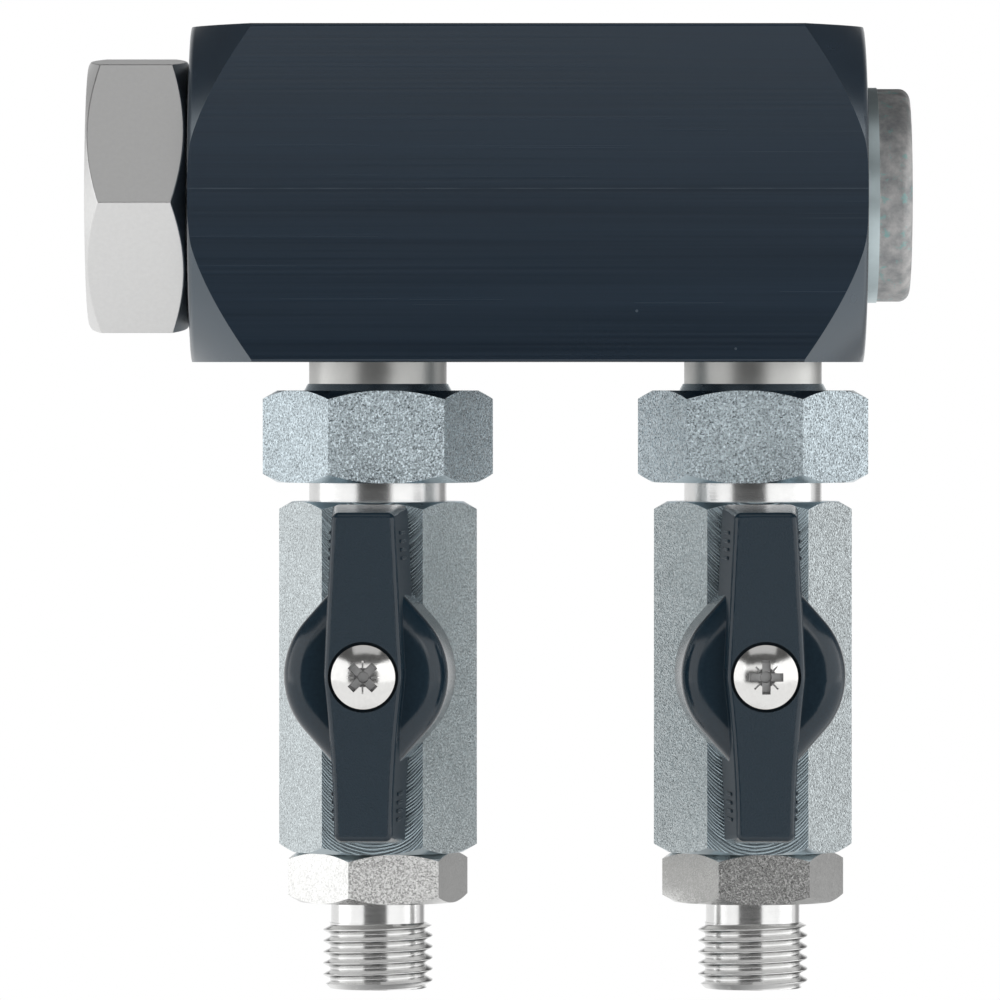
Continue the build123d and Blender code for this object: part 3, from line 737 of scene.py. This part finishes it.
class MANIFOLD_OT_inlet(bpy.types.Operator):
    """Model the inlet's union nut with its thread, and finish the tail and seal"""

    bl_idname = "manifold.inlet"
    bl_label = "Inlet"

    def execute(self, context):
        sizes, finishes = settings()
        low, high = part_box("inlet_union_nut")
        mouth, back = low.x, high.x
        nut = hexagon(
            "inlet_union_nut_dressed", sizes.inlet_nut_flats, mouth, back, sizes.inlet_nut_face
        )
        round_edges(nut, sizes.edge)
        major, pitch = sizes.inlet_thread_radius, sizes.inlet_pitch
        bore = major - THREAD_DEPTH * pitch
        lead = 0.6 * MM
        thread_end = -0.8 * MM
        relief = -1.4 * MM
        shoulder = 3.4 * MM
        combine(nut, threaded_rod("inlet_thread", major, pitch, mouth - MM, thread_end), "DIFFERENCE")
        hollow = turned(
            "inlet_hollow",
            [
                (major + lead, mouth - lead / 2),
                (bore, mouth + lead * 1.4),
                (bore, relief),
                (major, relief),
                (major, shoulder),
                (sizes.inlet_nut_throat, shoulder),
                (sizes.inlet_nut_throat, back + MM),
            ],
        )
        combine(nut, hollow, "DIFFERENCE")
        smooth(nut)
        settle_normals(nut)
        vertex_turn = radians(3.6)
        place(nut, turn=radians(30), tilt=(0, radians(90), 0))
        nut.data.transform(Matrix.Rotation(vertex_turn, 4, "X"))
        paint(nut, plain_metal("inlet_nickel", finishes.nickel, 0.3, 0.5 * MM, 0.004 * MM))
        hand_over(nut, "inlet_union_nut", "inlet_nut")
        paint_node("inlet_tail", turned_metal("tail_nickel", finishes.nickel, 0.22, "X"))
        paint_node("inlet_seal", moulded("fibre_seal", finishes.seal, 0.7, 0.4 * MM, 0.02 * MM))
        return {"FINISHED"}


class MANIFOLD_OT_end_plug(bpy.types.Operator):
    """Model the blanking plug and finish its washer"""

    bl_idname = "manifold.end_plug"
    bl_label = "End plug"

    def execute(self, context):
        sizes, finishes = settings()
        low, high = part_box("end_plug")
        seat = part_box("end_plug_washer")[1].x
        radius = (high.z - low.z) / 2
        rounding = sizes.plug_rounding
        outline = [(sizes.plug_shank, low.x), (sizes.plug_shank, seat), (radius, seat)]
        steps = 8
        for step in range(steps + 1):
            angle = pi / 2 * step / steps
            outline.append(
                (radius - rounding + rounding * cos(angle), high.x - rounding + rounding * sin(angle))
            )
        plug = turned("end_plug_dressed", outline)
        socket = hexagon(
            "plug_socket",
            sizes.plug_socket_flats,
            high.x - sizes.plug_socket_depth,
            high.x + 2 * MM,
            sizes.plug_socket_face,
        )
        combine(plug, socket, "DIFFERENCE")
        soften(plug, sizes.edge)
        place(plug, tilt=(0, radians(90), 0))
        paint(plug, stained("plug_zinc", 0.55))
        hand_over(plug, "end_plug", "manifold")
        paint_node("end_plug_washer", turned_metal("washer_zinc", finishes.washer_zinc, 0.36, "X"))
        return {"FINISHED"}


class MANIFOLD_OT_branch_tails(bpy.types.Operator):
    """Finish the tails between the block and the union nuts"""

    bl_idname = "manifold.branch_tails"
    bl_label = "Branch tails"

    def execute(self, context):
        finishes = settings()[1]
        steel = turned_metal("turned_steel_tail", finishes.steel, 0.32, "Z")
        for side in SIDES:
            paint_node(f"{side}_branch_tail", steel)
        return {"FINISHED"}


class MANIFOLD_OT_union_nuts(bpy.types.Operator):
    """Model the two union nuts"""

    bl_idname = "manifold.union_nuts"
    bl_label = "Union nuts"

    def execute(self, context):
        sizes, finishes = settings()
        low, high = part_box("left_union_nut")
        top = high.z - low.z - sizes.collar_height
        nut = hexagon("union_nut", sizes.union_nut_flats, 0, top, sizes.union_nut_face)
        radius = sizes.collar_radius
        slope = 0.43 * MM
        collar = turned(
            "nut_collar",
            [(radius, top - MM), (radius, top), (radius - slope, top + sizes.collar_height)],
        )
        combine(nut, collar, "UNION")
        lead = 0.5 * MM
        shoulder = top - sizes.union_shoulder
        hollow = turned(
            "nut_hollow",
            [
                (sizes.union_thread_radius + lead, -MM / 100),
                (sizes.union_thread_radius, lead),
                (sizes.union_thread_radius, shoulder),
                (sizes.union_throat, shoulder),
                (sizes.union_throat, top + 2 * MM),
            ],
        )
        combine(nut, hollow, "DIFFERENCE")
        soften(nut, sizes.edge)
        paint(nut, blasted("blasted_nut", finishes.zinc, 0.22, 0.25 * MM, 0.12 * MM, 0.45))
        chamfer = turned_metal("nut_chamfer", finishes.zinc, 0.2, "Z")
        paint(nut, chamfer, lambda face: abs(face.normal.z) > 0.3)
        for side in SIDES:
            node = f"{side}_union_nut"
            piece = duplicate(nut, node + "_dressed")
            turn = front_flat_turn(node, sizes.union_nut_flats * 0.45)
            place(piece, turn, (centre_of(f"{side}_branch_tail").x, 0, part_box(node)[0].z))
            hand_over(piece, node, "manifold")
        bpy.data.objects.remove(nut)
        return {"FINISHED"}


class MANIFOLD_OT_valve_bodies(bpy.types.Operator):
    """Finish the two hexagon valve bodies"""

    bl_idname = "manifold.valve_bodies"
    bl_label = "Valve bodies"

    def execute(self, context):
        sizes, finishes = settings()
        grained = blasted("blasted_body", finishes.body_zinc, 0.25, 0.25 * MM, 0.11 * MM, 0.3)
        chamfer = turned_metal("body_chamfer", finishes.zinc, 0.24, "Z")
        necks = turned_metal("turned_spigot", finishes.nickel, 0.15, "Z")
        for side in SIDES:
            node = f"{side}_valve_body"
            pivot, outward = lever_joint(side)
            body = copy_of(node)
            soften(body, sizes.edge)
            tilt = -outward.x / outward.y
            flat = milled(finishes.milled_zinc, 0.16, pivot.x, tilt, sizes.cutter_radius)
            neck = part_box(node)[1].z - sizes.spigot - 0.1 * MM
            paint(body, grained)
            paint(body, chamfer, lambda face: abs(face.normal.z) > 0.3)
            paint(body, flat, lambda face: face.normal.dot(outward) > 0.99)
            paint(body, necks, lambda face: face.center.z > neck and abs(face.normal.z) < 0.5)
            hand_over(body, node, "manifold")
        return {"FINISHED"}


class MANIFOLD_OT_inner_parts(bpy.types.Operator):
    """Finish the pieces sealed inside the valves"""

    bl_idname = "manifold.inner_parts"
    bl_label = "Inner parts"

    def execute(self, context):
        finishes = settings()[1]
        chrome = plain_metal("polished_ball_chrome", finishes.chrome, 0.06, 2 * MM, 0.0005 * MM)
        seat = moulded("white_seat", finishes.seat, 0.45, 0.3 * MM, 0.002 * MM)
        fibre = moulded("fibre_washer", finishes.seal, 0.7, 0.4 * MM, 0.02 * MM)
        rubber = moulded("black_rubber", finishes.rubber, 0.5, 0.2 * MM, 0.002 * MM)
        brass = turned_metal("stem_brass_turned", finishes.brass, 0.22, "Z")
        nickel = turned_metal("retainer_nickel", finishes.nickel, 0.25, "Z")
        inner = {
            "ball": chrome,
            "upper_seat": seat,
            "lower_seat": seat,
            "stem_washer": seat,
            "union_seal": fibre,
            "outlet_seal": fibre,
            "stem_o_ring": rubber,
            "stem": brass,
            "seat_retainer": nickel,
        }
        for side in SIDES:
            for name, material in inner.items():
                paint_node(f"{side}_{name}", material)
        return {"FINISHED"}


class MANIFOLD_OT_levers(bpy.types.Operator):
    """Finish the two moulded levers and raise the ribs on their flanks"""

    bl_idname = "manifold.levers"
    bl_label = "Levers"

    def execute(self, context):
        sizes, finishes = settings()
        plastic = finishes.plastic
        gloss = moulded("lever_gloss", plastic, 0.13, 0.5 * MM, 0.001 * MM)
        grain = moulded("lever_grain", plastic, 0.42, 0.22 * MM, 0.08 * MM)
        flank = moulded("lever_flank", plastic, 0.45, 0.3 * MM, 0.02 * MM, 1.25)
        for side in SIDES:
            node = f"{side}_lever"
            pivot, outward = lever_joint(side)
            across = Vector((-outward.y, outward.x, 0))
            lever = copy_of(node)
            front = max((point.co - pivot).dot(outward) for point in lever.data.vertices)
            soften(lever, sizes.edge * 0.5, segments=2)
            self.raise_ribs(lever, pivot, outward, sizes)

            def on_flank(face):
                beyond_hub = abs(face.center.z - pivot.z) > 7.5 * MM
                return beyond_hub and abs(face.normal.dot(across)) > 0.85

            def on_front(face):
                depth = (face.center - pivot).dot(outward)
                return depth > front - 0.1 * MM and face.normal.dot(outward) > 0.97

            paint(lever, gloss)
            paint(lever, flank, on_flank)
            paint(lever, grain, on_front)
            hand_over(lever, node, f"{side}_valve_lever")
        return {"FINISHED"}

    def raise_ribs(self, lever, pivot, outward, sizes):
        """Four short ribs across both flanks of each arm, near its end."""
        across = Vector((-outward.y, outward.x, 0))
        row = pivot + outward * 20.5 * MM
        facing = atan2(outward.x, -outward.y)
        draft = radians(3.8)
        bpy.context.view_layer.update()
        feet = []
        for flank, arm, step in product((-1, 1), (-1, 1), range(4)):
            height = arm * (sizes.first_rib + step * sizes.rib_spacing)
            outside = row + across * flank * 12 * MM + Vector((0, 0, height))
            found, foot = lever.ray_cast(outside, -flank * across)[:2]
            if not found:
                raise RuntimeError("a rib has missed the lever's arm")
            feet.append((flank, foot))
        ribs = [self.model_rib(-flank * draft, foot, facing) for flank, foot in feet]
        only(lever)
        for rib in ribs:
            rib.select_set(True)
        bpy.ops.object.join()

    def model_rib(self, draft, foot, facing):
        """One rounded bar, leaned with the arm's draft and sunk half into its flank."""
        bpy.ops.object.select_all(action="DESELECT")
        bpy.ops.mesh.primitive_cube_add(size=1)
        rib = bpy.context.object
        rib.scale = (0.5 * MM, 4.4 * MM, 0.42 * MM)
        bpy.ops.object.transform_apply()
        soften(rib, 0.14 * MM)
        return place(rib, draft, foot, (0, 0, facing))


class MANIFOLD_OT_lever_screws(bpy.types.Operator):
    """Model the cross-recessed screws that hold the levers"""

    bl_idname = "manifold.lever_screws"
    bl_label = "Lever screws"

    def execute(self, context):
        sizes, finishes = settings()
        bright = plain_metal("screw_zinc_bright", finishes.screw_zinc, 0.12, 0.5 * MM, 0.006 * MM)
        # Painted shade: the recess faces get a darker grey than the head, with a rougher finish
        dull = plain_metal("screw_recess_painted_shade", finishes.recess, 0.42, 0.4 * MM, 0.01 * MM)
        screw = self.model_screw(sizes)

        # Picks the faces down in the cross recess, which carry the painted recess shade
        def in_recess(face):
            radius = face.center.xy.length
            dome = self.dome_height(sizes, radius)
            return radius < 2.6 * MM and 0 < face.center.z < dome - 0.12 * MM

        paint(screw, bright)
        paint(screw, dull, in_recess)
        for side, cross_turn in zip(SIDES, (radians(45), 0)):
            node = f"{side}_lever_screw"
            pivot, outward = lever_joint(side)
            piece = duplicate(screw, node + "_dressed")
            tilt = (radians(90), 0, atan2(outward.x, -outward.y))
            place(piece, cross_turn, pivot + outward * sizes.screw_seat, tilt)
            hand_over(piece, node, f"{side}_valve_lever")
        bpy.data.objects.remove(screw)
        return {"FINISHED"}

    def crown_radius(self, sizes):
        """The radius of the head's dome, which ends at the rim."""
        crown = sizes.screw_front - sizes.screw_rim
        return (sizes.screw_head**2 + crown**2) / (2 * crown)

    def dome_height(self, sizes, radius):
        """The height of the head's front at a radius."""
        crown_radius = self.crown_radius(sizes)
        return sizes.screw_front - crown_radius + sqrt(crown_radius**2 - radius**2)

    def model_screw(self, sizes):
        """A pan head on its shank, seated at Z = 0, with a cross recess and four ticks."""
        shank, head, front = sizes.screw_shank, sizes.screw_head, sizes.screw_front
        outline = [(shank, -sizes.screw_reach), (shank, 0), (head, 0), (head, sizes.screw_rim)]
        crown_radius = self.crown_radius(sizes)
        steps = 10
        reach = asin(head / crown_radius)
        for step in range(1, steps):
            radius = crown_radius * sin(reach * (1 - step / steps))
            outline.append((radius, self.dome_height(sizes, radius)))
        screw = turned("cross_screw", outline)
        for turn in (0, 90):
            wing = self.tapered_bar(front, 1.15 * MM, 2.55 * MM, 0.56 * MM, 0.66)
            combine(screw, place(wing, radians(turn)), "DIFFERENCE")
        well = [
            (0.6 * MM, front - 1.9 * MM),
            (0.72 * MM, front - 1.1 * MM),
            (1.15 * MM, front - 0.2 * MM),
            (1.3 * MM, front + MM),
        ]
        combine(screw, turned("recess_well", well, segments=16), "DIFFERENCE")
        for turn in (45, 135):
            tick = self.tapered_bar(front, 0.45 * MM, 2.9 * MM, 0.12 * MM, 0.6)
            combine(screw, place(tick, radians(turn)), "DIFFERENCE")
        return soften(screw, sizes.edge * 0.5, segments=2)

    def tapered_bar(self, front, depth, half_length, half_width, taper):
        """A bar sunk into the head's front, narrower and shorter at its foot."""
        bpy.ops.object.select_all(action="DESELECT")
        bpy.ops.mesh.primitive_cube_add(size=2)
        bar = bpy.context.object
        bar.scale = (half_length, half_width, depth)
        bar.location = (0, 0, front)
        bpy.ops.object.transform_apply()
        with editing(bar):
            pick_faces(bar, lambda face: face.normal.z < -0.9)
            bpy.ops.transform.resize(value=(taper, 0.8, 1), center_override=(0, 0, front))
        return bar


class MANIFOLD_OT_outlet_nipples(bpy.types.Operator):
    """Model the two outlet nipples with their pipe threads"""

    bl_idname = "manifold.outlet_nipples"
    bl_label = "Outlet nipples"

    def execute(self, context):
        sizes, finishes = settings()
        low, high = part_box("left_outlet_nipple")
        hexagon_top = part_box("left_valve_body")[0].z
        spigot_top = high.z - hexagon_top
        hexagon_end = -6 * MM
        thread_top = hexagon_end - 2.5 * MM
        end = low.z - hexagon_top
        major = sizes.outlet_thread_radius
        core, spigot, bore = 5.62 * MM, 8.7 * MM, 4 * MM
        chamfer = 0.8 * MM
        nipple = hexagon("nipple", sizes.nipple_flats, hexagon_end, 0, 9.5 * MM)
        rod = threaded_rod("outlet_thread", major, sizes.outlet_pitch, end - MM, thread_top + MM)
        blank = turned(
            "thread_blank",
            [
                (major - chamfer, end),
                (major, end + chamfer),
                (major + 0.1 * MM, thread_top - 0.5 * MM),
                (5.7 * MM, thread_top),
            ],
        )
        combine(rod, blank, "INTERSECT")
        combine(nipple, rod, "UNION")
        stem = [(core, end + 2 * MM), (core, -MM), (spigot, -MM), (spigot, spigot_top)]
        combine(nipple, turned("nipple_stem", stem), "UNION")
        hole = [(4.6 * MM, end - 0.1 * MM), (bore, end + 0.5 * MM), (bore, spigot_top + MM)]
        combine(nipple, turned("nipple_hole", hole), "DIFFERENCE")
        soften(nipple, sizes.edge * 0.5, segments=2, angle=radians(30))
        flats = blasted("nipple_flats", finishes.nipple_nickel, 0.15, 0.2 * MM, 0.004 * MM, 0.07)
        turned_nickel = turned_metal("nipple_turned", finishes.nickel, 0.13, "Z")
        paint(nipple, flats)
        paint(nipple, turned_nickel, lambda face: face.center.z < hexagon_end - 0.05 * MM)
        for side in SIDES:
            node = f"{side}_outlet_nipple"
            piece = duplicate(nipple, node + "_dressed")
            turn = front_flat_turn(node, sizes.nipple_flats * 0.485)
            place(piece, turn, (centre_of(f"{side}_branch_tail").x, 0, hexagon_top))
            hand_over(piece, node, "manifold")
        bpy.data.objects.remove(nipple)
        return {"FINISHED"}


def dark_corner(finish, x, y):
    """The unlit corner of the studio, behind the object and to its right."""
    sideways = finish.between(x, 0.36, 0.5) * finish.between(x, 0.74, 0.86, 1.0, 0.0)
    return sideways * finish.between(y, -0.1, 0.4)


def ray_kinds(finish):
    """Two values that are 1 for the camera's own rays, and for rays off metal or through glass."""
    path = finish.node("LightPath")
    mirrored = finish.maths(
        "MAXIMUM",
        Number(finish, path.outputs["Is Glossy Ray"]),
        Number(finish, path.outputs["Is Transmission Ray"]),
    )
    return Number(finish, path.outputs["Is Camera Ray"]), mirrored


def lamp(name, azimuth, elevation, distance, width, height, radiance):
    """A softbox that faces the object, of an even brightness."""
    target = Vector((MIDDLE, 0, -40 * MM))
    direction = Vector(
        (sin(azimuth) * cos(elevation), -cos(azimuth) * cos(elevation), sin(elevation))
    )
    light = bpy.data.lights.new(name, "AREA")
    light.shape = "RECTANGLE"
    light.size = width
    light.size_y = height
    light.energy = radiance * pi * width * height
    softbox = bpy.data.objects.new(name, light)
    softbox.location = target + direction * distance
    softbox.rotation_euler = direction.to_track_quat("Z", "Y").to_euler()
    softbox.visible_camera = False
    bpy.context.scene.collection.objects.link(softbox)


class MANIFOLD_OT_stage(bpy.types.Operator):
    """Lay the floor, light the studio and set up the camera"""

    bl_idname = "manifold.stage"
    bl_label = "Stage"

    def execute(self, context):
        stage = context.scene.manifold_stage
        self.lay_floor(stage)
        self.light_world()
        lamp("left_softbox", radians(-73), 0, 0.9, 1.4, 1.0, 1.2)
        lamp("right_softbox", radians(66), 0, 0.9, 1.74, 1.0, 1.25)
        lamp("top_softbox", radians(0), radians(62), 0.9, 0.8, 0.6, 0.5)
        lamp("front_strip", radians(0), radians(15), 0.36, 0.46, 0.075, 0.95)
        camera = bpy.data.objects.new("camera", bpy.data.cameras.new("camera"))
        camera.data.sensor_width = 36
        camera.data.lens = 360
        camera.data.clip_start = 0.1
        camera.data.clip_end = 50
        camera.location = (MIDDLE, -stage.camera_distance, -20 * MM)
        camera.rotation_euler = (radians(90 - 0.79), 0, 0)
        context.scene.collection.objects.link(camera)
        context.scene.camera = camera
        context.scene.view_settings.view_transform = "Standard"
        return {"FINISHED"}

    def lay_floor(self, stage):
        """A pale floor that fades to plain white away from the object."""
        height = cad_box[0].z - stage.floor_drop
        bpy.ops.object.select_all(action="DESELECT")
        bpy.ops.mesh.primitive_plane_add(size=1, location=(0, 0, height))
        floor = bpy.context.object
        floor.name = "floor"
        floor.scale = (8, 6, 1)
        floor.location.y = 3 - stage.table_front
        bpy.ops.object.transform_apply()
        finish = Finish(bpy.data.materials.new("pale_floor"))
        x, y = finish.parts(finish.moved((MIDDLE, 0, 0)))[:2]
        distance = finish.maths("SQRT", x * x + y * y)
        corner = dark_corner(finish, x / distance, y / distance)
        camera, mirrored = ray_kinds(finish)
        seen = finish.maths(
            "MAXIMUM",
            camera * finish.between(distance, 0.1, 0.28),
            mirrored * finish.between(distance, 0.0, 0.1) * (1.0 - corner * 0.7),
        )
        pale = finish.node("BsdfDiffuse", None, {"Color": (0.9, 0.9, 0.9, 1)})
        white = finish.node("Emission", None, {"Color": (1, 1, 1, 1), "Strength": 1.0})
        mix = finish.node("MixShader", None, {0: seen, 1: pale.outputs[0], 2: white.outputs[0]})
        finish.node("OutputMaterial", None, {"Surface": mix.outputs[0]})
        floor.data.materials.append(finish.owner)

    def light_world(self):
        """A dim studio with a white backdrop behind the object."""
        world = bpy.data.worlds.new("studio")
        bpy.context.scene.world = world
        finish = Finish(world)
        x, y, z = finish.parts(finish.node("TexCoord").outputs["Generated"])
        camera, mirrored = ray_kinds(finish)
        behind = finish.between(y, -0.1, 0.4)
        low = finish.between(z, 0.05, 0.42, 1.0, 0.0)
        backdrop = finish.between(y, 0.955, 0.985)
        room = behind * low * (1.0 - dark_corner(finish, x, y) * 0.7) * 0.78 + 0.09
        seen = finish.maths("MAXIMUM", camera, mirrored * backdrop)
        level = room + (1.0 - room) * seen
        background = finish.node("Background", None, {"Color": (1, 1, 1, 1), "Strength": level})
        finish.node("OutputWorld", None, {"Surface": background.outputs[0]})


OPERATORS = (
    MANIFOLD_OT_block,
    MANIFOLD_OT_inlet,
    MANIFOLD_OT_end_plug,
    MANIFOLD_OT_branch_tails,
    MANIFOLD_OT_union_nuts,
    MANIFOLD_OT_valve_bodies,
    MANIFOLD_OT_inner_parts,
    MANIFOLD_OT_levers,
    MANIFOLD_OT_lever_screws,
    MANIFOLD_OT_outlet_nipples,
    MANIFOLD_OT_stage,
)


class MANIFOLD_PT_panel(bpy.types.Panel):
    """Lists the manifold's pieces, sizes and finishes"""

    bl_idname = "MANIFOLD_PT_panel"
    bl_label = "Manifold"
    bl_space_type = "VIEW_3D"
    bl_region_type = "UI"
    bl_category = "Manifold"

    def draw(self, context):
        for group in (
            context.scene.manifold_sizes,
            context.scene.manifold_finishes,
            context.scene.manifold_stage,
        ):
            for name in group.__annotations__:
                self.layout.prop(group, name)
        for operator in OPERATORS:
            self.layout.operator(operator.bl_idname)


GROUPS = {
    "manifold_sizes": ManifoldSizes,
    "manifold_finishes": ManifoldFinishes,
    "manifold_stage": ManifoldStage,
}


def register():
    for name, group in GROUPS.items():
        bpy.utils.register_class(group)
        setattr(bpy.types.Scene, name, bpy.props.PointerProperty(type=group))
    for operator in OPERATORS:
        bpy.utils.register_class(operator)
    bpy.utils.register_class(MANIFOLD_PT_panel)


def unregister():
    bpy.utils.unregister_class(MANIFOLD_PT_panel)
    for operator in reversed(OPERATORS):
        bpy.utils.unregister_class(operator)
    for name, group in GROUPS.items():
        delattr(bpy.types.Scene, name)
        bpy.utils.unregister_class(group)


def main():
    register()
    bpy.ops.manifold.stage()
    bpy.ops.manifold.block()
    bpy.ops.manifold.inlet()
    bpy.ops.manifold.end_plug()
    bpy.ops.manifold.branch_tails()
    bpy.ops.manifold.union_nuts()
    bpy.ops.manifold.valve_bodies()
    bpy.ops.manifold.inner_parts()
    bpy.ops.manifold.levers()
    bpy.ops.manifold.lever_screws()
    bpy.ops.manifold.outlet_nipples()


if __name__ == "__main__":
    main()
